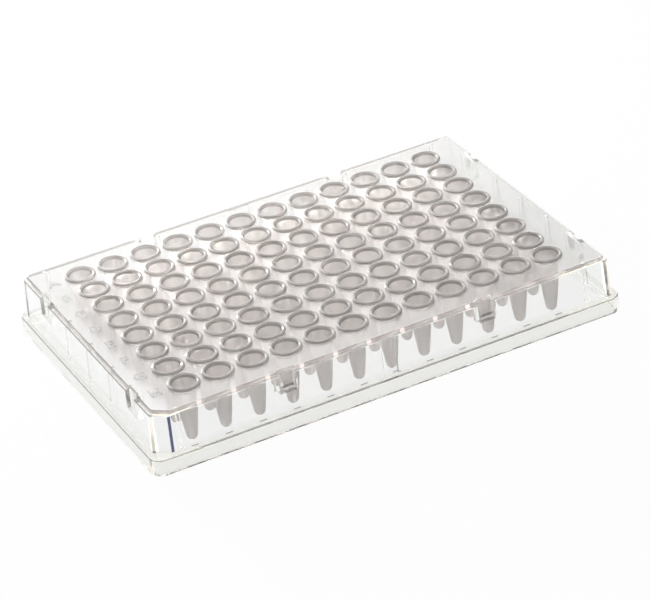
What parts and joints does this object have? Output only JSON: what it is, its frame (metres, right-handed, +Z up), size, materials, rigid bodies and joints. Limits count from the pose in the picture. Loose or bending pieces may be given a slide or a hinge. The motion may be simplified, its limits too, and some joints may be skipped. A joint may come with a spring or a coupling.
{
  "type": "skirted PCR well plate",
  "caption": "Skirted PCR plate: a clear stiff frame with a base flange, a cut corner and grip pockets, holding a square grid of thin frosted tubes with raised rims.",
  "frame": {"origin": "centre of the base, on the table", "axes": "+X along a row of wells, from column 1 to column 12; +Y from row H to row A; +Z up, out of the wells"},
  "size_m": [0.1278, 0.0854, 0.0161],
  "materials": {
    "clear_polycarbonate": "clear, polished moulding",
    "frosted_polypropylene": "thin, frosted, satin"
  },
  "bodies": {
    "root": {"frame": "clear_polycarbonate", "well_row_A": "frosted_polypropylene", "well_row_B": "frosted_polypropylene", "well_row_C": "frosted_polypropylene", "well_row_D": "frosted_polypropylene", "well_row_E": "frosted_polypropylene", "well_row_F": "frosted_polypropylene", "well_row_G": "frosted_polypropylene", "well_row_H": "frosted_polypropylene"}
  },
  "joints": []
}
